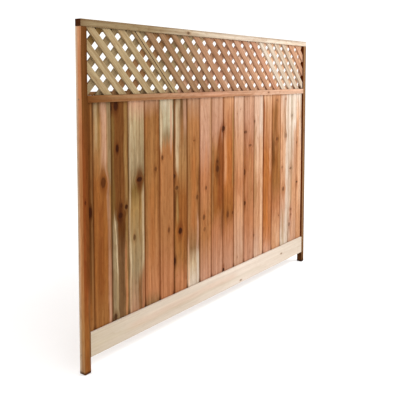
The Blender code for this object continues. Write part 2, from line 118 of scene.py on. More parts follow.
BOARDS = {
    "starter_strip": Wood(
        ((1.40, "brown"), (1.10, "umber"), (0.70, "umber"), (0.50, "brown"), (0.30, "orange_brown"),
         (0.22, "amber")),
        (Streak("tan", 0.78, 0.78, 0.20, 1.42, 0.20, 0.45),),
        (Knot(0.42, 0.84, 0.012, 2.2),), 0.55),
    "board_01": Wood(
        ((1.40, "grey_brown"), (1.28, "tan"), (1.15, "tan"), (0.98, "orange_brown"), (0.50, "orange_brown"),
         (0.22, "amber")),
        (Streak("khaki_cream", 0.16, 0.14, 0.10, 1.43, 1.16, 0.5),
         Streak("rose", 0.60, 0.62, 0.15, 1.43, 1.06, 0.8),
         Streak("weathered", 0.90, 0.93, 0.12, 1.43, 0.95, 0.8),
         Streak("olive_tan", 0.95, 0.97, 0.07, 0.95, 0.60, 0.7),
         Streak("dusty_pink", 0.66, 0.80, 0.055, 1.10, 0.93, 0.6),
         Streak("dusty_pink", 0.80, 0.84, 0.08, 0.97, 0.50, 0.8),
         Streak("rose", 0.85, 0.88, 0.10, 0.58, 0.18, 0.75),
         Streak("olive", 0.30, 0.30, 0.07, 1.40, 1.15, 0.45),
         Streak("red_brown", 0.35, 0.38, 0.16, 0.90, 0.35, 0.4)),
        (Knot(0.54, 0.985, 0.019, 1.5, 0.64),), 0.5),
    "board_02": Wood(
        ((1.40, "brown"), (0.90, "brown"), (0.70, "umber"), (0.55, "grey_brown"), (0.22, "grey_brown")),
        (Streak("olive_tan", 0.86, 0.86, 0.10, 1.43, 0.20, 0.7),
         Streak("olive", 0.06, 0.06, 0.12, 1.36, 0.70, 0.8),
         Streak("dark_brown", 0.16, 0.16, 0.22, 1.43, 1.37, 0.7),
         Streak("weathered", 0.14, 0.24, 0.14, 0.78, 0.20, 0.85),
         Streak("cream", 0.14, 0.34, 0.032, 0.80, 0.42, 0.8),
         Streak("khaki_cream", 0.34, 0.36, 0.06, 0.46, 0.20, 0.5),
         Streak("salmon", 0.80, 0.86, 0.06, 0.62, 0.20, 0.75),
         Streak("dark_brown", 0.60, 0.66, 0.10, 0.80, 0.30, 0.35)),
        (Knot(0.28, 1.385, 0.017, 1.4), Knot(0.04, 1.375, 0.012, 1.3), Knot(0.34, 1.155, 0.011, 1.9, 1.0),
         Knot(0.55, 0.84, 0.009, 1.5, 0.5), Knot(0.85, 0.825, 0.012, 1.1), Knot(0.50, 0.785, 0.016, 1.0),
         Knot(0.17, 0.232, 0.012, 1.4, 0.7)), 0.5),
    "board_03": Wood(
        ((1.40, "rose"), (1.28, "khaki_cream"), (1.05, "weathered"), (0.92, "olive"), (0.80, "olive_tan"),
         (0.45, "weathered"), (0.22, "dusty_pink")),
        (Streak("cream", 0.07, 0.07, 0.06, 1.36, 0.20, 0.6),
         Streak("cream", 0.86, 0.87, 0.07, 0.92, 0.42, 0.7),
         Streak("cream", 0.54, 0.56, 0.035, 1.11, 1.06, 0.8),
         Streak("brown", 0.66, 0.66, 0.15, 1.03, 0.89, 0.85),
         Streak("brown", 0.70, 0.64, 0.04, 0.90, 0.60, 0.55),
         Streak("brown", 0.72, 0.72, 0.11, 0.43, 0.16, 0.8),
         Streak("salmon", 0.92, 0.92, 0.08, 0.46, 0.16, 0.75)),
        (Knot(0.67, 0.963, 0.021, 0.65, 1.0), Knot(0.34, 0.64, 0.011, 1.6, 0.58)), 0.5),
    "board_04": Wood(
        ((1.40, "dusty_pink"), (1.30, "amber"), (0.90, "amber"), (0.60, "caramel"), (0.30, "salmon"),
         (0.22, "dusty_tan")),
        (Streak("olive", 0.12, 0.12, 0.10, 1.20, 0.50, 0.30),
         Streak("orange", 0.52, 0.50, 0.16, 1.00, 0.45, 0.35),
         Streak("tan", 0.50, 0.45, 0.20, 1.35, 0.90, 0.35)),
        (Knot(0.73, 1.005, 0.011, 1.2, 0.5),), 0.75),
    "board_05": Wood(
        ((1.40, "grey_cream"), (1.27, "grey_cream"), (1.20, "weathered"), (1.12, "caramel"),
         (0.60, "caramel"), (0.35, "salmon"), (0.22, "salmon")),
        (Streak("bone", 0.45, 0.40, 0.30, 1.43, 1.34, 0.4),
         Streak("cream", 0.12, 0.10, 0.08, 1.36, 1.10, 0.9),
         Streak("rose", 0.82, 0.82, 0.07, 1.40, 1.08, 0.9),
         Streak("brown", 0.46, 0.46, 0.28, 1.20, 1.17, 0.55)),
        (Knot(0.20, 1.065, 0.009, 1.5, 0.55), Knot(0.63, 0.62, 0.010, 1.6, 0.5)), 0.75),
    "board_06": Wood(
        ((1.40, "grey_brown"), (1.20, "dusty_tan"), (1.00, "tan"), (0.80, "orange_brown"),
         (0.58, "orange_brown"), (0.42, "amber"), (0.30, "salmon"), (0.22, "salmon")),
        (Streak("cream", 0.32, 0.20, 0.14, 1.43, 0.96, 0.8),
         Streak("orange_brown", 0.62, 0.60, 0.10, 1.28, 1.10, 0.5),
         Streak("rose", 0.80, 0.88, 0.12, 1.43, 1.20, 0.7),
         Streak("umber", 0.02, 0.02, 0.07, 1.20, 1.04, 0.8),
         Streak("olive_tan", 0.22, 0.30, 0.08, 0.86, 0.64, 0.8),
         Streak("dark_brown", 0.05, 0.06, 0.10, 0.86, 0.64, 0.9),
         Streak("brown", 0.04, 0.04, 0.08, 1.43, 0.20, 0.7)),
        (Knot(0.02, 0.94, 0.014, 0.9, 0.7), Knot(0.22, 0.865, 0.016, 0.8, 0.6),
         Knot(0.47, 0.592, 0.018, 1.1, 0.93), Knot(0.03, 0.415, 0.015, 1.5, 0.75)), 0.65),
    "board_07": Wood(
        ((1.40, "dusty_pink"), (1.25, "caramel"), (0.90, "amber"), (0.60, "caramel"), (0.46, "dusty_tan"),
         (0.36, "cream"), (0.22, "bone")),
        (Streak("tan", 0.12, 0.12, 0.09, 1.35, 0.55, 0.6),
         Streak("orange", 0.55, 0.50, 0.16, 1.05, 0.58, 0.5),
         Streak("rose", 0.86, 0.86, 0.07, 0.66, 0.40, 0.75),
         Streak("bone", 0.86, 0.84, 0.09, 0.44, 0.20, 0.8),
         Streak("light_peach", 0.10, 0.12, 0.06, 0.52, 0.20, 0.8),
         Streak("brown", 0.95, 0.93, 0.09, 0.98, 0.62, 0.7)),
        (Knot(0.80, 0.775, 0.013, 1.2, 0.5), Knot(0.55, 1.14, 0.012, 0.5, 0.4)), 0.8),
    "board_08": Wood(
        ((1.40, "rose"), (1.10, "pink"), (0.90, "salmon"), (0.62, "caramel"), (0.50, "caramel"),
         (0.22, "pink")),
        (Streak("tan", 0.90, 0.90, 0.08, 1.43, 0.60, 0.55),
         Streak("orange_brown", 0.95, 0.95, 0.07, 1.00, 0.55, 0.8),
         Streak("salmon", 0.52, 0.52, 0.10, 1.12, 0.90, 0.5)),
        (Knot(0.53, 0.82, 0.010, 1.2, 0.58), Knot(0.34, 0.63, 0.014, 1.3, 0.58),
         Knot(0.40, 0.55, 0.013, 1.1, 0.4)), 0.6),
    "board_09": Wood(
        ((1.40, "rose"), (1.20, "pink"), (1.06, "caramel"), (0.96, "orange_brown"), (0.66, "orange_brown"),
         (0.54, "salmon"), (0.22, "pink")),
        (Streak("red_brown", 0.95, 0.45, 0.10, 1.23, 1.02, 0.85),
         Streak("red_brown", 0.80, 0.74, 0.22, 1.14, 0.66, 0.8),
         Streak("brown", 0.46, 0.52, 0.15, 1.05, 0.84, 0.6),
         Streak("tan", 0.06, 0.08, 0.09, 1.10, 0.55, 0.8),
         Streak("brown", 0.92, 0.90, 0.12, 0.64, 0.46, 0.6)),
        (Knot(0.50, 0.93, 0.018, 1.2, 0.62), Knot(0.50, 0.98, 0.010, 1.0, 0.45),
         Knot(0.98, 1.19, 0.014, 1.6, 0.7)), 0.6),
    "board_10": Wood(
        ((1.40, "peach"), (1.25, "salmon"), (1.08, "orange"), (0.85, "orange"), (0.62, "orange_brown"),
         (0.48, "salmon"), (0.22, "pink")),
        (Streak("peach", 0.18, 0.18, 0.12, 1.43, 0.82, 0.6),
         Streak("olive_tan", 0.95, 0.95, 0.07, 1.32, 0.78, 0.7),
         Streak("orange_brown", 0.20, 0.25, 0.18, 0.76, 0.56, 0.6)),
        (Knot(0.04, 1.195, 0.017, 1.0, 0.72), Knot(0.43, 0.60, 0.014, 1.7, 0.45),
         Knot(0.90, 0.60, 0.012, 0.9, 0.45), Knot(0.04, 0.225, 0.013, 0.8, 0.9)), 0.8),
    "board_11": Wood(
        ((1.40, "pale_pink"), (1.25, "rose"), (1.00, "peach"), (0.80, "salmon"), (0.60, "peach"),
         (0.35, "rose"), (0.22, "rose")),
        (Streak("tan", 0.12, 0.12, 0.08, 1.20, 0.60, 0.5),
         Streak("pale_pink", 0.60, 0.60, 0.15, 1.43, 1.20, 0.5)),
        (Knot(0.63, 1.315, 0.005, 1.0, 0.4), Knot(0.30, 1.285, 0.005, 0.8, 0.4),
         Knot(0.36, 0.27, 0.006, 1.0, 0.4)), 0.75),
    "board_12": Wood(
        ((1.40, "rose"), (1.25, "pink"), (0.95, "salmon"), (0.75, "salmon"), (0.50, "salmon"),
         (0.22, "pink")),
        (Streak("orange_brown", 0.07, 0.07, 0.08, 1.10, 0.55, 0.6),
         Streak("tan", 0.60, 0.60, 0.16, 1.00, 0.60, 0.3)),
        (Knot(0.13, 1.15, 0.021, 0.5, 0.52), Knot(0.62, 1.05, 0.019, 0.5, 0.55),
         Knot(0.04, 0.865, 0.016, 1.3, 0.62), Knot(0.07, 0.64, 0.018, 0.8, 0.62)), 0.6),
    "board_13": Wood(
        ((1.40, "pale_pink"), (1.15, "pale_pink"), (0.90, "light_peach"), (0.72, "peach"), (0.45, "peach"),
         (0.34, "rose"), (0.22, "pale_pink")),
        (Streak("light_peach", 0.80, 0.80, 0.14, 1.10, 0.22, 0.8),
         Streak("white_cream", 0.76, 0.76, 0.18, 1.43, 1.12, 0.45),
         Streak("tan", 0.12, 0.14, 0.15, 1.20, 0.60, 0.6)),
        (Knot(0.03, 1.22, 0.012, 0.9, 0.5), Knot(0.03, 0.38, 0.012, 0.9, 0.4)), 0.6),
    "board_14": Wood(
        ((1.40, "light_peach"), (1.26, "peach"), (1.08, "salmon"), (0.95, "orange"), (0.75, "orange"),
         (0.45, "orange"), (0.32, "salmon"), (0.22, "pink")),
        (Streak("peach", 0.80, 0.82, 0.15, 1.25, 0.80, 0.7),
         Streak("salmon", 0.78, 0.78, 0.18, 0.76, 0.42, 0.6),
         Streak("orange_brown", 0.40, 0.28, 0.13, 1.40, 0.30, 0.45),
         Streak("red_brown", 0.06, 0.04, 0.09, 1.42, 0.85, 0.8)),
        (), 0.8),
    "board_15": Wood(
        ((1.40, "peach"), (1.28, "caramel"), (1.05, "caramel"), (0.90, "orange_brown"), (0.72, "amber"),
         (0.55, "salmon"), (0.38, "peach"), (0.22, "peach")),
        (Streak("brown", 0.40, 0.36, 0.16, 1.36, 1.10, 0.65),
         Streak("umber", 0.20, 0.22, 0.16, 1.10, 0.84, 0.75),
         Streak("tan", 0.86, 0.86, 0.14, 1.12, 0.80, 0.6),
         Streak("peach", 0.84, 0.84, 0.14, 1.38, 1.12, 0.6),
         Streak("light_peach", 0.74, 0.74, 0.20, 0.36, 0.20, 0.7),
         Streak("orange_brown", 0.30, 0.35, 0.14, 0.64, 0.60, 0.5)),
        (Knot(0.54, 1.365, 0.014, 0.8, 0.4), Knot(0.58, 1.065, 0.016, 0.9, 0.52),
         Knot(0.85, 0.46, 0.007, 1.0, 0.5)), 0.5),
    "board_16": Wood(
        ((1.40, "pale_pink"), (1.10, "light_peach"), (0.85, "light_peach"), (0.66, "peach"), (0.50, "rose"),
         (0.22, "bone")),
        (Streak("white_cream", 0.88, 0.90, 0.22, 1.43, 0.70, 0.95),
         Streak("white_cream", 0.40, 0.40, 0.10, 1.43, 1.32, 0.6),
         Streak("dusty_tan", 0.48, 0.64, 0.10, 1.34, 1.05, 0.6),
         Streak("peach", 0.20, 0.20, 0.20, 1.18, 0.62, 0.85),
         Streak("olive_tan", 0.30, 0.36, 0.08, 0.50, 0.20, 0.6),
         Streak("white_cream", 0.84, 0.74, 0.20, 0.72, 0.18, 0.85)),
        (Knot(0.55, 1.37, 0.015, 0.7, 0.32), Knot(0.64, 1.08, 0.019, 1.0, 0.36),
         Knot(0.22, 0.835, 0.014, 0.7, 0.35), Knot(0.38, 0.66, 0.017, 1.1, 0.58)), 0.4),
    "board_17": Wood(
        ((1.40, "white_cream"), (1.15, "white_cream"), (0.90, "pale_pink"), (0.65, "peach"), (0.22, "rose")),
        (Streak("bone", 0.08, 0.06, 0.18, 1.10, 0.25, 0.7),
         Streak("weathered", 0.42, 0.36, 0.09, 1.43, 0.48, 0.55),
         Streak("peach", 0.86, 0.82, 0.18, 1.15, 0.40, 0.7),
         Streak("pink", 0.40, 0.25, 0.16, 0.52, 0.30, 0.6)),
        (Knot(0.41, 1.235, 0.014, 0.9, 0.38), Knot(0.27, 0.81, 0.018, 0.6, 0.55),
         Knot(0.35, 0.475, 0.014, 0.7, 0.42), Knot(0.38, 0.43, 0.011, 0.8, 0.38),
         Knot(0.15, 0.355, 0.019, 0.8, 0.48)), 0.3),
    "board_18": Wood(
        ((1.40, "white_cream"), (1.22, "bright_peach"), (0.85, "bright_peach"), (0.60, "light_peach"),
         (0.42, "peach"), (0.22, "peach")),
        (Streak("caramel", 0.03, 0.03, 0.10, 1.20, 0.45, 0.6),
         Streak("peach", 0.24, 0.24, 0.20, 1.20, 0.45, 0.85),
         Streak("white_cream", 0.72, 0.72, 0.22, 1.36, 1.00, 0.4)),
        (Knot(0.03, 1.01, 0.012, 1.0, 0.42), Knot(0.08, 0.685, 0.018, 0.45, 0.72),
         Knot(0.60, 1.20, 0.008, 0.8, 0.3)), 0.2),
}

RAILS = {
    "cap_rail": Wood(
        ((-1.22, "weathered"), (-0.72, "weathered"), (-0.25, "stone"), (0.30, "bone"), (1.22, "bone")),
        (Streak("grey_brown", 0.88, 0.88, 0.12, 1.30, -1.30, 0.35),
         Streak("umber", 0.5, 0.5, 1.0, -1.19, -1.30, 0.5)),
        (Knot(0.4, -0.35, 0.008, 1.4, 0.6),), side=((-1.22, "umber"), (1.22, "umber"))),
    "mid_rail": Wood(
        ((-1.18, "brown"), (-1.00, "dusty_tan"), (-0.45, "dusty_pink"), (-0.10, "pink"), (0.30, "rose"),
         (1.18, "pale_pink")),
        (Streak("orange_brown", 0.20, 0.20, 0.20, 0.40, -1.20, 0.4),), (Knot(0.5, 0.62, 0.007, 1.4, 0.6),)),
    "kickboard": Wood(
        ((-1.25, "stone"), (-0.70, "bone"), (-0.40, "bone"), (0.30, "white_cream"), (1.18, "bone")),
        (Streak("pale_pink", 0.55, 0.50, 0.16, 0.20, -0.90, 0.35),
         Streak("grey_cream", 0.30, 0.42, 0.10, 0.60, -1.20, 0.2)),
        # Its upper face is painted lighter: a painted highlight from the light above
        (Knot(0.13, 0.251, 0.006, 1.4, 0.7), Knot(0.54, 0.834, 0.006, 1.4, 0.7)), ledge="white_cream"),
    "bottom_rail": Wood(((-1.18, "tan"), (1.18, "olive_tan")), (), (Knot(0.5, -0.2, 0.008, 1.4, 0.6),)),
}

POSTS = {
    "left_post": Wood(
        ((1.80, "brown"), (1.40, "brown"), (1.10, "red_brown"), (0.45, "red_brown"), (0.20, "orange_brown"),
         (0.0, "orange_brown")),
        (Streak("umber", 0.78, 0.78, 0.34, 1.85, 0.45, 0.66),
         Streak("grey_brown", 0.90, 0.90, 0.22, 0.45, 0.0, 0.5)), (Knot(0.4, 0.9, 0.006, 1.6, 0.6),),
        # The left face: lighter tones, a painted highlight for the light that falls on it from the left
        side=((1.80, "peach"), (1.60, "salmon"), (1.35, "salmon"), (1.00, "caramel"), (0.50, "caramel"),
              (0.20, "tan"), (0.0, "dusty_tan")), rim="stone"),
    "right_post": Wood(
        # Its front darkens below the kickboard: painted shade on the foot
        ((1.80, "dusty_tan"), (1.00, "dusty_tan"), (0.25, "dusty_tan"), (0.09, "grey_brown"),
         (0.0, "dark_brown")),
        (Streak("grey_brown", 0.85, 0.85, 0.30, 1.85, 0.0, 0.6),), (Knot(0.5, 1.1, 0.006, 1.6, 0.6),),
        # Its left face beside the boards: a dark tone, painted shade
        side=((1.80, "shaded_rust"), (0.15, "shaded_rust"), (0.07, "dark_brown"), (0.0, "dark_brown"))),
}
HIDDEN = Wood(((-1.2, "tan"), (0.0, "peach"), (1.2, "tan")), (), (Knot(0.5, 0.31, 0.007, 1.4, 0.6),))
HIDDEN_UPRIGHT = Wood(((1.45, "peach"), (0.10, "tan")), (), (Knot(0.5, 0.7, 0.006, 1.4, 0.6),))
HIDDEN_STRIPS = ("board_cleat_top", "board_cleat_bottom", "back_batten", "lattice_stop_top",
                 "lattice_stop_bottom")
HIDDEN_UPRIGHT_STRIPS = ("board_cleat_left", "board_cleat_right", "lattice_stop_left", "lattice_stop_right")
NAILED_STRIPS = ("board_cleat_top", "back_batten", "board_cleat_bottom")

# The tones of each layer's slats, by where a slat's middle is from left to right
FRONT_SLATS = (
    (-1.20, "khaki_cream"), (-0.60, "khaki_cream"), (-0.52, "fawn"), (-0.22, "fawn"),
    (-0.12, "dusty_pink"), (0.14, "dusty_pink"), (0.47, "rose"), (0.60, "pink"), (0.67, "bone"),
    (1.05, "bone"), (1.13, "rose"),
)
REAR_SLATS = (
    (-1.25, "olive"), (-1.10, "weathered"), (-0.90, "weathered"), (-0.82, "dusty_tan"), (-0.66, "dusty_tan"),
    (-0.55, "weathered"), (-0.40, "khaki_cream"), (-0.22, "rose"), (-0.12, "dusty_pink"), (0.10, "pink"),
    (0.20, "pale_pink"), (0.60, "bright_peach"), (1.10, "bright_peach"), (1.20, "rose"),
)
# A crack along one front slat: the slat's number, counted from the first hole, the crack's half
# width, and how far along X it is off the slat's middle
SPLIT_SLAT = 5
SPLIT_HALF_WIDTH = 0.0018
SPLIT_OFF_MIDDLE = SLAT_WIDTH * 0.1

# Where each kind of wooden piece starts in the grain. A piece adds its own number, or a step times
# that number, so no two start at the same place.
BOARD_SEED = 1.0
BOARD_SEED_STEP = 0.61
RAIL_SEED = 20.0
POST_SEED = 30.0
HIDDEN_SEED = 40.0
HIDDEN_UPRIGHT_SEED = 50.0
FRONT_SLAT_SEED = 61.0
REAR_SLAT_SEED = 67.0
SLAT_SEED_STEP = 0.37
# How far a seed of 1 moves a piece through the noise, across, along and in depth
SEED_STEPS = (1.37, 2.11, 0.73)

# Noise in the wood: its changes a metre across and along the grain, its detail and its roughness
RING_FIGURE = (8.0, 0.9, 1.5, 0.4)
RING_COUNT = 17.0
RING_FADE = (0.35, 1.0)
PATTERNS = {
    "Grain": (110.0, 3.0, 3.0, 0.6),
    "Fine": (480.0, 14.0, 2.0, 0.6),
    "Mottle": (12.0, 2.2, 2.0, 0.5),
    "Stripes": (62.0, 1.1, 3.0, 0.55),
    "Flecks": (70.0, 24.0, 3.0, 0.65),
}
# The same for ragged ends and wandering edges, and how far these go, in metres or shares of the width
WAVER = (40.0, 2.4, 4.0, 0.6)
WANDER = (5.0, 3.4, 2.0, 0.5)
WANDER_SEED = 9.0
RAGGED_END = 0.12
WAVER_SHARE = 0.12
WANDER_SHARE = 0.24

# The patterns laid over a colour: where each starts and is full, how strong it is, and its tint
RING_STRENGTH = 0.28
RING_TINT = (0.66, 0.48, 0.34)
WEAR_LAYERS = (
    ("Stripes", 0.46, 0.66, 0.42, (0.56, 0.42, 0.28)),
    ("Stripes", 0.48, 0.32, 0.60, (1.28, 1.24, 1.20)),
    ("Grain", 0.42, 0.72, 0.32, (0.55, 0.42, 0.32)),
    ("Fine", 0.40, 0.75, 0.22, (0.60, 0.50, 0.42)),
    ("Flecks", 0.52, 0.72, 0.40, (0.66, 0.52, 0.38)),
    ("Flecks", 0.48, 0.30, 0.50, (1.20, 1.18, 1.14)),
    ("Mottle", 0.42, 0.68, 0.22, (0.72, 0.60, 0.50)),
)

# The wood's surface: the roughness from one strength of grain to another, and what raises or lowers it
WOOD_ROUGHNESS = (0.3, 0.7, 0.62, 0.84)
WOOD_SPECULAR = 0.04
GRAIN_HEIGHT = 0.6
FINE_HEIGHT = 0.4
RING_DIP = 0.25
KNOT_DIP = 0.4
BUMP_STRENGTH = 0.35
BUMP_DISTANCE = 0.0008

# Knots, in shares of their radius: where the heart, the halo and the push aside fade in and are full
KNOT_NOISE = (2.0, 0.5)
KNOT_RAGGEDNESS = 0.6
HEART_FADE = (1.30, 0.70)
HALO_FADE = (1.2, 0.2)
HALO_LENGTH = 4.5
HALO_WIDTH_SQUARED = 3.0
HALO_STRENGTH = 0.80
HALO_TINT = (0.50, 0.28, 0.11)
PUSH_FADE = (3.2, 0.4)
PUSH_SHARE = 0.75
# Streaks: where they fade in and are full, in half widths from the middle and in metres from the ends
STREAK_SIDE_FADE = (1.60, 0.40)
STREAK_END_FADE = (-0.05, 0.07)

# Which way a face looks: the normal's part along an axis where this starts to count and is full
LEFT_FACING = (-0.6, -0.8)
UP_FACING = (0.6, 0.8)
FRONT_FACING = (-0.3, -0.5)
END_FACING = (0.7, 0.9)
# Where on the left face's depth the rim's tone starts, and how strong it is at the back
RIM_START = 0.4
RIM_STRENGTH = 0.8

# Shade beside the joints, just above the kickboard and at the ground: how many metres from the joint
# or above the ground it starts and is full, and its tint
JOINT_FADE = (0.016, 0.001)
JOINT_TINT = (0.46, 0.29, 0.15)
FOOT_EDGE_FADE = (0.018, 0.004)
FOOT_FADE = (0.250, 0.215)
FOOT_TINT = (0.35, 0.22, 0.12)
SEAM_FADE = (0.222, 0.215)
SEAM_STRENGTH = 0.25
SEAM_TINT = (0.45, 0.32, 0.20)
GROUND_FADE = (0.020, 0.006)
GROUND_STRENGTH = 0.85
GROUND_TINT = (0.20, 0.14, 0.10)
# Shade on end grain, and from slat to slat
END_STRENGTH = 0.9
END_TINT = (0.34, 0.25, 0.17)
SLAT_SHADE_STRENGTH = 0.24
SLAT_SHADE_STEP = 1.731
SLAT_SHADE_TINT = (0.62, 0.50, 0.38)
# How far apart two lines at 45 degrees are for each metre between them along X
SLANT = math.sqrt(0.5)

# Steel: the noise of its dull patches and of its wear, and what they do
STEEL_PATCHES = (700.0, 700.0, 3.0, 0.6)
STEEL_ROUGHNESS = (0.3, 0.7, 0.36, 0.58)
STEEL_WEAR = (260.0, 260.0, 2.0, 0.6)
STEEL_WEAR_FADE = (0.56, 0.70)
STEEL_WEAR_STRENGTH = 0.6
Steel = namedtuple("Steel", "name clean worn metallic")
BRONZE_COATED = Steel("bronze_coated_steel", (0.20, 0.12, 0.06), (0.10, 0.05, 0.025), 0.4)
ZINC_PLATED = Steel("zinc_plated_steel", (0.42, 0.41, 0.39), (0.24, 0.11, 0.05), 0.9)

# Camera, at the photograph's viewing angle, with the small shift that its framing needs
CAMERA_PLACE = (-3.2448, -2.2816, 1.5346)
CAMERA_DOWN = math.radians(4.045)
CAMERA_TURN = math.radians(-53.10)
CAMERA_LENS = 53.65
CAMERA_SENSOR = 36.0
CAMERA_SHIFT = -0.20

# A large key light from the front right, and a weaker one beside the left end
Lamp = namedtuple("Lamp", "name power size colour place aim")
LAMPS = (
    Lamp("key", 125.0, 2.2, (1.0, 0.985, 0.955), (2.3, -2.6, 3.7), (0.35, 0.0, 1.0)),
    Lamp("side_fill", 30.0, 1.6, (1.0, 0.97, 0.92), (-4.2, 0.9, 1.9), (-1.2, 0.1, 0.8)),
)
STUDIO_BRIGHTNESS = 1.12
FLOOR_REACH = 60.0
FLOOR_BELOW_FEET = 0.0004
FLOOR_ROUGHNESS = 0.95
FLOOR_SPECULAR = 0.1
FLOOR_CLOUD = (1.5, 1.5, 2.0, 0.5)
FLOOR_SHADES = ((0.3, (0.95, 0.95, 0.95)), (0.7, (0.97, 0.97, 0.97)))


# Node trees

def linear(tone):
    """A named sRGB tone as the wood's linear red, green and blue."""
    values = [int(TONES[tone][i:i + 2], 16) / 255 for i in (0, 2, 4)]
    return tuple(WOOD_ALBEDO * (v / 12.92 if v <= 0.04045 else ((v + 0.055) / 1.055) ** 2.4) for v in values)


class Tree:
    """Short calls for adding nodes to one tree."""

    def __init__(self, tree):
        self.tree = tree

    def plug(self, socket, value):
        if isinstance(value, bpy.types.NodeSocket):
            self.tree.links.new(value, socket)
        elif isinstance(value, (tuple, list)) and socket.type == "RGBA":
            socket.default_value = (*value, 1.0)
        elif value is not None:
            socket.default_value = value

    def add(self, kind, settings=None, inputs=None):
        node = self.tree.nodes.new(kind)
        for key, value in (settings or {}).items():
            setattr(node, key, value)
        for key, value in (inputs or {}).items():
            self.plug(node.inputs[key], value)
        return node

    def math(self, operation, a, b=None, clamp=False):
        node = self.add("ShaderNodeMath", {"operation": operation, "use_clamp": clamp}, {0: a, 1: b})
        return node.outputs[0]

    def smooth(self, value, low, high, start=0.0, end=1.0):
        node = self.add("ShaderNodeMapRange", {"interpolation_type": "SMOOTHSTEP"},
                        {"Value": value, "From Min": low, "From Max": high, "To Min": start, "To Max": end})
        return node.outputs["Result"]

    def mix(self, factor, a, b, blend="MIX"):
        node = self.add("ShaderNodeMix", {"data_type": "RGBA", "blend_type": blend}, {0: factor, 6: a, 7: b})
        return node.outputs[2]

    def combine(self, x, y, z):
        return self.add("ShaderNodeCombineXYZ", None, {0: x, 1: y, 2: z}).outputs[0]

    def stretched(self, vector, x, y, z):
        node = self.add("ShaderNodeVectorMath", {"operation": "MULTIPLY"}, {0: vector, 1: (x, y, z)})
        return node.outputs[0]

    def noise(self, vector, detail, roughness):
        node = self.add("ShaderNodeTexNoise", None,
                        {"Vector": vector, "Scale": 1.0, "Detail": detail, "Roughness": roughness})
        return node.outputs[0]

    def ramp(self, value, stops):
        """stops are (position, linear colour) pairs, first to last."""
        node = self.add("ShaderNodeValToRGB", None, {0: value})
        elements = node.color_ramp.elements
        while len(elements) < len(stops):
            elements.new(0.5)
        for element, (position, colour) in zip(elements, stops):
            element.position = position
            element.color = (*colour, 1.0)
        return node.outputs[0]


def new_group(name, inputs, outputs):
    group = bpy.data.node_groups.new(name, "ShaderNodeTree")
    for label in inputs:
        group.interface.new_socket(label, in_out="INPUT", socket_type="NodeSocketFloat")
    for label in outputs:
        group.interface.new_socket(label, in_out="OUTPUT", socket_type="NodeSocketFloat")
    t = Tree(group)
    return t, t.add("NodeGroupInput").outputs, t.add("NodeGroupOutput").inputs


def stretched_noise(t, place, across, along, detail, roughness):
    """Noise of a place: across is how often it changes a metre in X and Z, and along in Y."""
    return t.noise(t.stretched(place, across, along, across), detail, roughness)


def grain_group():
    """Growth rings cut flat, and the patterns of the grain, all stretched along the grain."""
    t, given, out = new_group("softwood_grain", ("Across", "Along", "Depth", "Seed"), ("Rings", *PATTERNS))
    place = t.combine(*(t.math("ADD", given[axis], t.math("MULTIPLY", given["Seed"], step))
                        for axis, step in zip(("Across", "Along", "Depth"), SEED_STEPS)))
    figure = stretched_noise(t, place, *RING_FIGURE)
    saw = t.math("FRACT", t.math("MULTIPLY", figure, RING_COUNT))
    t.plug(out["Rings"], t.smooth(saw, *RING_FADE))
    for pattern, values in PATTERNS.items():
        t.plug(out[pattern], stretched_noise(t, place, *values))
    return t.tree


def knot_group():
    """One knot: the grain coordinate pushed aside around it, its dark heart and its brown halo."""
    t, given, out = new_group("knot_in_wood", ("Across", "Along", "At", "Height", "Radius", "Tall"),
                              ("Across", "Heart", "Halo"))
    aside = t.math("DIVIDE", t.math("SUBTRACT", given["Across"], given["At"]), given["Radius"])
    rise = t.math("DIVIDE", t.math("SUBTRACT", given["Along"], given["Height"]), given["Radius"])
    shorter = t.math("DIVIDE", rise, given["Tall"])
    ragged = t.noise(t.combine(aside, rise, given["Radius"]), *KNOT_NOISE)
    across_two = t.math("MULTIPLY", aside, aside)
    reach = t.math("SQRT", t.math("ADD", across_two, t.math("MULTIPLY", shorter, shorter)))
    reach = t.math("ADD", reach, t.math("MULTIPLY", t.math("SUBTRACT", ragged, 0.5), KNOT_RAGGEDNESS))
    t.plug(out["Heart"], t.smooth(reach, *HEART_FADE))
    flame = t.math("DIVIDE", rise, HALO_LENGTH)
    wide = t.math("DIVIDE", across_two, HALO_WIDTH_SQUARED)
    spread = t.math("SQRT", t.math("ADD", wide, t.math("MULTIPLY", flame, flame)))
    t.plug(out["Halo"], t.smooth(spread, *HALO_FADE))
    push = t.math("MULTIPLY", t.smooth(reach, *PUSH_FADE), PUSH_SHARE)
    shift = t.math("MULTIPLY", t.math("SUBTRACT", given["Across"], given["At"]), push)
    t.plug(out["Across"], t.math("SUBTRACT", given["Across"], shift))
    return t.tree


def streak_group():
    """A band of another tone along the grain, drifting from one place across to another."""
    t, given, out = new_group(
        "streak_in_wood",
        ("Across", "Along", "Top across", "Bottom across", "Half width", "Top", "Bottom", "Strength"),
        ("Mask",))
    share = t.math("DIVIDE", t.math("SUBTRACT", given["Along"], given["Bottom"]),
                   t.math("SUBTRACT", given["Top"], given["Bottom"]), True)
    drift = t.math("MULTIPLY", t.math("SUBTRACT", given["Top across"], given["Bottom across"]), share)
    centre = t.math("ADD", given["Bottom across"], drift)
    distance = t.math("ABSOLUTE", t.math("SUBTRACT", given["Across"], centre))
    wide = t.math("DIVIDE", distance, given["Half width"])
    side = t.smooth(wide, *STREAK_SIDE_FADE)
    upper = t.smooth(t.math("SUBTRACT", given["Top"], given["Along"]), *STREAK_END_FADE)
    lower = t.smooth(t.math("SUBTRACT", given["Along"], given["Bottom"]), *STREAK_END_FADE)
    mask = t.math("MULTIPLY", t.math("MULTIPLY", side, given["Strength"]), t.math("MULTIPLY", upper, lower))
    t.plug(out["Mask"], mask)
    return t.tree


GRAIN = grain_group()
KNOT = knot_group()
STREAK = streak_group()


def new_material(name):
    material = bpy.data.materials.new(name)
    material.use_nodes = True
    t = Tree(material.node_tree)
    return material, t, material.node_tree.nodes["Principled BSDF"]


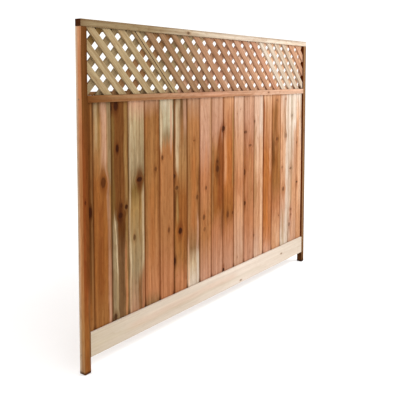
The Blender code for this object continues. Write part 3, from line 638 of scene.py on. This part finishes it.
def wear(t, colour, across, along, depth, seed, figure):
    """Grain, rings, stripes and mottling over a colour; gives the colour, a roughness and a bump height.

    figure is how strongly they show: 1 on most pieces, less on the kickboard and the rear slats.
    """
    grain = t.add("ShaderNodeGroup", {"node_tree": GRAIN},
                  {"Across": across, "Along": along, "Depth": depth, "Seed": seed}).outputs
    rings = t.math("MULTIPLY", grain["Rings"], RING_STRENGTH * figure)
    colour = t.mix(rings, colour, RING_TINT, "MULTIPLY")
    for pattern, start, full, strength, tint in WEAR_LAYERS:
        share = t.smooth(grain[pattern], start, full, 0.0, strength * figure)
        colour = t.mix(share, colour, tint, "MULTIPLY")
    roughness = t.smooth(grain["Grain"], *WOOD_ROUGHNESS)
    height = t.math("ADD", t.math("MULTIPLY", grain["Grain"], GRAIN_HEIGHT),
                    t.math("MULTIPLY", grain["Fine"], FINE_HEIGHT))
    height = t.math("SUBTRACT", height, t.math("MULTIPLY", grain["Rings"], RING_DIP))
    return colour, roughness, height


def finish_wood(t, shader, colour, roughness, height):
    bump = t.add("ShaderNodeBump", None,
                 {"Strength": BUMP_STRENGTH, "Distance": BUMP_DISTANCE, "Height": height})
    t.plug(shader.inputs["Base Color"], colour)
    t.plug(shader.inputs["Roughness"], roughness)
    t.plug(shader.inputs["Normal"], bump.outputs[0])
    shader.inputs["Specular IOR Level"].default_value = WOOD_SPECULAR


def tones_along(t, value, stops):
    """A colour that goes through named tones as a place in metres goes through their stops."""
    first = min(stop for stop, tone in stops)
    last = max(stop for stop, tone in stops)
    shares = sorted(((stop - first) / (last - first), linear(tone)) for stop, tone in stops)
    return t.ramp(t.math("DIVIDE", t.math("SUBTRACT", value, first), last - first, True), shares)


def swaying(t, across, along, seed, changes_across, changes_along, detail, roughness):
    """Noise around zero, over the piece's face."""
    place = t.combine(t.math("MULTIPLY", across, changes_across), t.math("MULTIPLY", along, changes_along),
                      seed)
    return t.math("SUBTRACT", t.noise(place, detail, roughness), 0.5)


def wood_material(name, look, along_axis, across_axis, low, high, seed, figure=1.0):
    """The material of one straight piece that lies between two corners."""
    material, t, shader = new_material(name)
    axes = t.add("ShaderNodeSeparateXYZ", None, {0: t.add("ShaderNodeTexCoord").outputs["Object"]}).outputs
    along = axes[along_axis]
    start = getattr(low, across_axis.lower())
    width = getattr(high, across_axis.lower()) - start
    across = t.math("SUBTRACT", axes[across_axis], start)
    depth = axes["Y"]
    bent = across
    knots = []
    for one in look.knots:
        made = t.add("ShaderNodeGroup", {"node_tree": KNOT},
                     {"Across": bent, "Along": along, "At": one.u * width, "Height": one.z,
                      "Radius": one.radius, "Tall": one.tall}).outputs
        bent = made["Across"]
        knots.append((one, made))
    # ragged ends and wandering edges for what runs along the grain
    waver = swaying(t, bent, along, seed, *WAVER)
    wander = swaying(t, bent, along, seed + WANDER_SEED, *WANDER)
    ragged = t.math("ADD", along, t.math("MULTIPLY", waver, RAGGED_END))
    share = t.math("DIVIDE", bent, width)
    aside = t.math("ADD", t.math("MULTIPLY", waver, WAVER_SHARE), t.math("MULTIPLY", wander, WANDER_SHARE))
    share = t.math("ADD", share, aside)
    colour = tones_along(t, ragged, look.ramp)
    for one in look.streaks:
        mask = t.add("ShaderNodeGroup", {"node_tree": STREAK},
                     {"Across": share, "Along": ragged, "Top across": one.top_u,
                      "Bottom across": one.bottom_u, "Half width": one.half_width, "Top": one.top,
                      "Bottom": one.bottom, "Strength": one.strength}).outputs[0]
        colour = t.mix(mask, colour, linear(one.tone))
    surface = t.add("ShaderNodeNewGeometry").outputs["Normal"]
    normal = t.add("ShaderNodeSeparateXYZ", None, {0: surface}).outputs
    # The left face's own tones: a painted highlight on the left post and painted shade on the right post
    if look.side:
        facing = t.smooth(normal["X"], *LEFT_FACING)
        side = tones_along(t, ragged, look.side)
        if look.rim:
            rim_start = low.y + RIM_START * (high.y - low.y)
            behind = t.smooth(depth, rim_start, high.y, 0.0, RIM_STRENGTH)
            side = t.mix(behind, side, linear(look.rim))
        colour = t.mix(facing, colour, side)
    # An upper face in a lighter tone: a painted highlight where light falls from above
    if look.ledge:
        facing = t.smooth(normal["Z"], *UP_FACING)
        colour = t.mix(facing, colour, linear(look.ledge))
    colour, roughness, height = wear(t, colour, bent, along, depth, seed, figure)
    for one, made in knots:
        halo = t.math("MULTIPLY", made["Halo"], HALO_STRENGTH * one.dark)
        colour = t.mix(halo, colour, HALO_TINT, "MULTIPLY")
        colour = t.mix(t.math("MULTIPLY", made["Heart"], one.dark), colour, linear("knot"))
        height = t.math("SUBTRACT", height, t.math("MULTIPLY", made["Heart"], KNOT_DIP))
    if look.groove > 0.0:
        edge = t.math("MINIMUM", across, t.math("SUBTRACT", width, across))
        joint = t.smooth(edge, *JOINT_FADE, 0.0, look.groove)
        colour = t.mix(joint, colour, JOINT_TINT, "MULTIPLY")
        forward = t.smooth(normal["Y"], *FRONT_FACING)
        beside = t.smooth(edge, *FOOT_EDGE_FADE, 0.0, look.groove)
        foot = t.math("MULTIPLY", beside, t.smooth(along, *FOOT_FADE))
        colour = t.mix(t.math("MULTIPLY", foot, forward), colour, FOOT_TINT, "MULTIPLY")
        seam = t.math("MULTIPLY", t.smooth(along, *SEAM_FADE, 0.0, SEAM_STRENGTH), forward)
        colour = t.mix(seam, colour, SEAM_TINT, "MULTIPLY")
    if look.side and along_axis == "Z":
        ground = t.smooth(along, *GROUND_FADE, 0.0, GROUND_STRENGTH)
        colour = t.mix(ground, colour, GROUND_TINT, "MULTIPLY")
    end = t.smooth(t.math("ABSOLUTE", normal[along_axis]), *END_FACING, 0.0, END_STRENGTH)
    colour = t.mix(end, colour, END_TINT, "MULTIPLY")
    finish_wood(t, shader, colour, roughness, height)
    return material


def slat_material(name, slope, constant, step, low, high, seed, tones, figure):
    """One material for a whole layer of slats: each slat takes its tone from where its middle is."""
    material, t, shader = new_material(name)
    axes = t.add("ShaderNodeSeparateXYZ", None, {0: t.add("ShaderNodeTexCoord").outputs["Object"]}).outputs
    x, z = axes["X"], axes["Z"]
    across = t.math("ADD", x, t.math("MULTIPLY", z, slope))
    along = t.math("MULTIPLY", t.math("SUBTRACT", x, t.math("MULTIPLY", z, slope)), SLANT)
    number = t.math("ROUND", t.math("DIVIDE", t.math("SUBTRACT", across, constant), step))
    dice = t.add("ShaderNodeTexWhiteNoise", {"noise_dimensions": "1D"},
                 {"W": t.math("ADD", t.math("MULTIPLY", number, SLAT_SHADE_STEP), seed)})
    middle = t.math("SUBTRACT", t.math("ADD", t.math("MULTIPLY", number, step), constant),
                    slope * (low.z + high.z) / 2)
    colour = tones_along(t, middle, tones)
    shade = t.smooth(dice.outputs["Value"], 0.0, 1.0, 0.0, SLAT_SHADE_STRENGTH * figure)
    colour = t.mix(shade, colour, SLAT_SHADE_TINT, "MULTIPLY")
    if slope > 0:
        # one front slat has a crack along it
        crack = constant + SPLIT_SLAT * step - SPLIT_OFF_MIDDLE
        away = t.math("MULTIPLY", t.math("ABSOLUTE", t.math("SUBTRACT", across, crack)), SLANT)
        colour = t.mix(t.smooth(away, 2 * SPLIT_HALF_WIDTH, SPLIT_HALF_WIDTH), colour, linear("knot"))
    offset = t.math("MULTIPLY", across, SLANT)
    grain_seed = t.math("ADD", t.math("MULTIPLY", number, SLAT_SEED_STEP), seed)
    colour, roughness, height = wear(t, colour, offset, along, axes["Y"], grain_seed, figure)
    finish_wood(t, shader, colour, roughness, height)
    return material


def steel_material(name, clean, worn, metallic):
    """Steel under a coat of zinc or bronze paint, with dull patches and a little wear."""
    material, t, shader = new_material(name)
    place = t.add("ShaderNodeTexCoord").outputs["Object"]
    patches = stretched_noise(t, place, *STEEL_PATCHES)
    wear_here = t.smooth(stretched_noise(t, place, *STEEL_WEAR), *STEEL_WEAR_FADE)
    colour = t.mix(t.math("MULTIPLY", wear_here, STEEL_WEAR_STRENGTH), clean, worn)
    t.plug(shader.inputs["Base Color"], colour)
    t.plug(shader.inputs["Roughness"], t.smooth(patches, *STEEL_ROUGHNESS))
    shader.inputs["Metallic"].default_value = metallic
    return material


# The frame's own pieces

def paint(node, material):
    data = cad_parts[node].data
    data.materials.clear()
    data.materials.append(material)


def paint_frame(steel):
    for number, (node, look) in enumerate(BOARDS.items()):
        low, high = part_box(node)
        following = list(BOARDS)[number + 1] if number + 1 < len(BOARDS) else None
        if following:
            high.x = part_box(following)[0].x
        seed = BOARD_SEED + BOARD_SEED_STEP * number
        paint(node, wood_material(node + "_wood", look, "Z", "X", low, high, seed))
    for number, (node, look) in enumerate(RAILS.items()):
        figure = PLAIN_FIGURE if node == "kickboard" else 1.0
        seed = RAIL_SEED + number
        paint(node, wood_material(node + "_wood", look, "X", "Z", *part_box(node), seed, figure))
    for number, (node, look) in enumerate(POSTS.items()):
        paint(node, wood_material(node + "_wood", look, "Z", "X", *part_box(node), POST_SEED + number))
    for number, node in enumerate(HIDDEN_STRIPS):
        seed = HIDDEN_SEED + number
        paint(node, wood_material(node + "_wood", HIDDEN, "X", "Z", *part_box(node), seed))
    for number, node in enumerate(HIDDEN_UPRIGHT_STRIPS):
        seed = HIDDEN_UPRIGHT_SEED + number
        paint(node, wood_material(node + "_wood", HIDDEN_UPRIGHT, "Z", "X", *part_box(node), seed))
    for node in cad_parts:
        if "screw" in node:
            paint(node, steel)


def object_from(name, solid, material):
    mesh = bpy.data.meshes.new(name)
    solid.to_mesh(mesh)
    solid.free()
    mesh.materials.append(material)
    obj = bpy.data.objects.new(name, mesh)
    bpy.context.scene.collection.objects.link(obj)
    return obj


# The lattice, slat by slat

def slat_values(slope, low, high, constant, step):
    """For each slat of one slope that crosses the opening, x + slope * z on its middle line."""
    ends = sorted(x + slope * z for x in (low.x, high.x) for z in (low.z, high.z))
    first = math.floor((ends[0] - constant) / step)
    last = math.ceil((ends[-1] - constant) / step)
    found = []
    for index in range(first, last + 1):
        value = constant + index * step
        reach = sorted((slope * (value - low.x), slope * (value - high.x)))
        bottom = max(low.z, reach[0])
        top = min(high.z, reach[1])
        if (top - bottom) * math.sqrt(2) >= SLAT_PITCH:
            found.append(value)
    return found


def slat(name, value, slope, front, low, high, material):
    """A straight slat at 45 degrees, cut off at the four sides of the opening."""
    middle = (low.z + high.z) / 2
    length = 2 * (high.z - low.z) + 4 * SLAT_WIDTH
    place = Matrix.Translation((value - slope * middle, front + SLAT_THICKNESS / 2, middle))
    place = place @ Matrix.Rotation(slope * math.pi / 4, 4, "Y")
    place = place @ Matrix.Diagonal((length, SLAT_THICKNESS, SLAT_WIDTH, 1.0))
    solid = bmesh.new()
    bmesh.ops.create_cube(solid, size=1.0, matrix=place)
    for corner, direction in ((low, (-1, 0, 0)), (high, (1, 0, 0)), (low, (0, 0, -1)), (high, (0, 0, 1))):
        everything = solid.verts[:] + solid.edges[:] + solid.faces[:]
        cut = bmesh.ops.bisect_plane(solid, geom=everything, plane_co=corner, plane_no=direction,
                                     clear_outer=True)
        edges = [e for e in cut["geom_cut"] if isinstance(e, bmesh.types.BMEdge)]
        if edges:
            bmesh.ops.holes_fill(solid, edges=edges)
    bmesh.ops.recalc_face_normals(solid, faces=solid.faces)
    obj = object_from(name, solid, material)
    eased = obj.modifiers.new("eased_edges", "BEVEL")
    eased.width = SLAT_EDGE_ROUNDING
    eased.segments = 2
    eased.limit_method = "ANGLE"
    return obj


def staples(name, crossings, back, material):
    """A staple's straight crown across each crossing on the back of the lattice, each turned a little."""
    solid = bmesh.new()
    for number, (x, z) in enumerate(crossings):
        place = Matrix.Translation((x, back + STAPLE_WIRE / 2, z))
        place = place @ Matrix.Rotation(STAPLE_TURN * math.sin(STAPLE_TURN_STEP * number), 4, "Y")
        place = place @ Matrix.Diagonal((STAPLE_LENGTH, STAPLE_WIRE, STAPLE_WIRE, 1.0))
        bmesh.ops.create_cube(solid, size=1.0, matrix=place)
    bmesh.ops.bevel(solid, geom=solid.edges[:], offset=STAPLE_ROUNDING, segments=2, affect="EDGES")
    return object_from(name, solid, material)


def build_lattice(steel):
    low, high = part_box("lattice_panel")
    step = SLAT_PITCH * math.sqrt(2)
    opening_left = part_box("left_post")[1].x
    opening_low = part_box("mid_rail")[1].z
    hole = (opening_left + FIRST_HOLE_ACROSS, opening_low + FIRST_HOLE_UP)
    layers = {}
    for label, slope, front, seed, tones, figure in (
            ("front", 1, low.y, FRONT_SLAT_SEED, FRONT_SLATS, 1.0),
            ("rear", -1, low.y + SLAT_THICKNESS, REAR_SLAT_SEED, REAR_SLATS, REAR_SLAT_FIGURE)):
        constant = hole[0] + slope * hole[1] + step / 2
        material = slat_material("lattice_%s_wood" % label, slope, constant, step, low, high, seed, tones,
                                 figure)
        layers[slope] = slat_values(slope, low, high, constant, step)
        for number, value in enumerate(layers[slope]):
            name = "lattice_%s_slat_%02d" % (label, number + 1)
            piece = slat(name, value, slope, front, low, high, material)
            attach(piece, "root")
            if number == 0:
                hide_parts("lattice_panel")
    margin = STAPLE_LENGTH
    crossings = [((a + b) / 2, (a - b) / 2) for a in layers[1] for b in layers[-1]]
    crossings = [(x, z) for x, z in crossings
                 if low.x + margin < x < high.x - margin and low.z + margin < z < high.z - margin]
    wires = staples("lattice_staples", crossings, low.y + 2 * SLAT_THICKNESS, steel)
    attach(wires, "root")


# Nails on the back

def nail_row(name, places, back, material):
    solid = bmesh.new()
    for x, z in places:
        place = Matrix.Translation((x, back, z)) @ Matrix.Diagonal(
            (NAIL_HEAD_RADIUS, NAIL_HEAD_HEIGHT, NAIL_HEAD_RADIUS, 1.0))
        bmesh.ops.create_uvsphere(solid, u_segments=12, v_segments=8, radius=1.0, matrix=place)
    for face in solid.faces:
        face.smooth = True
    return object_from(name, solid, material)


def build_nails(steel):
    middles = []
    for node in list(BOARDS)[1:]:
        low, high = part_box(node)
        middles.append((low.x + high.x) / 2)
    for node in NAILED_STRIPS:
        low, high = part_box(node)
        height = (low.z + high.z) / 2
        places = [(x + side * NAIL_FROM_MIDDLE, height) for x in middles for side in (-1, 1)
                  if abs(x + side * NAIL_FROM_MIDDLE) < high.x - NAIL_FROM_END]
        nails = nail_row(node + "_nails", places, high.y, steel)
        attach(nails, "root")


# Floor, light and camera

def build_stage():
    material, t, shader = new_material("studio_floor")
    place = t.add("ShaderNodeTexCoord").outputs["Object"]
    cloud = stretched_noise(t, place, *FLOOR_CLOUD)
    t.plug(shader.inputs["Base Color"], t.ramp(cloud, FLOOR_SHADES))
    shader.inputs["Roughness"].default_value = FLOOR_ROUGHNESS
    shader.inputs["Specular IOR Level"].default_value = FLOOR_SPECULAR
    solid = bmesh.new()
    bmesh.ops.create_grid(solid, x_segments=1, y_segments=1, size=FLOOR_REACH,
                          matrix=Matrix.Translation((0.0, 0.0, -FLOOR_BELOW_FEET)))
    object_from("studio_floor", solid, material)


def build_light():
    world = bpy.data.worlds.new("studio")
    bpy.context.scene.world = world
    world.use_nodes = True
    shade = world.node_tree.nodes["Background"]
    shade.inputs["Color"].default_value = (1.0, 1.0, 1.0, 1.0)
    shade.inputs["Strength"].default_value = STUDIO_BRIGHTNESS
    for one in LAMPS:
        light = bpy.data.lights.new(one.name, "AREA")
        light.energy = one.power
        light.size = one.size
        light.color = one.colour
        lamp = bpy.data.objects.new(one.name, light)
        lamp.location = one.place
        lamp.rotation_mode = "QUATERNION"
        lamp.rotation_quaternion = (Vector(one.aim) - lamp.location).to_track_quat("-Z", "Y")
        bpy.context.scene.collection.objects.link(lamp)


def build_camera():
    data = bpy.data.cameras.new("camera")
    data.sensor_width = CAMERA_SENSOR
    data.lens = CAMERA_LENS
    data.shift_y = CAMERA_SHIFT
    camera = bpy.data.objects.new("camera", data)
    camera.location = CAMERA_PLACE
    camera.rotation_euler = (math.pi / 2 - CAMERA_DOWN, 0.0, CAMERA_TURN)
    bpy.context.scene.collection.objects.link(camera)
    bpy.context.scene.camera = camera


coated_steel = steel_material(*BRONZE_COATED)
zinc_steel = steel_material(*ZINC_PLATED)
paint_frame(coated_steel)
build_lattice(zinc_steel)
build_nails(zinc_steel)
build_stage()
build_light()
build_camera()
bpy.context.scene.view_settings.view_transform = "Standard"
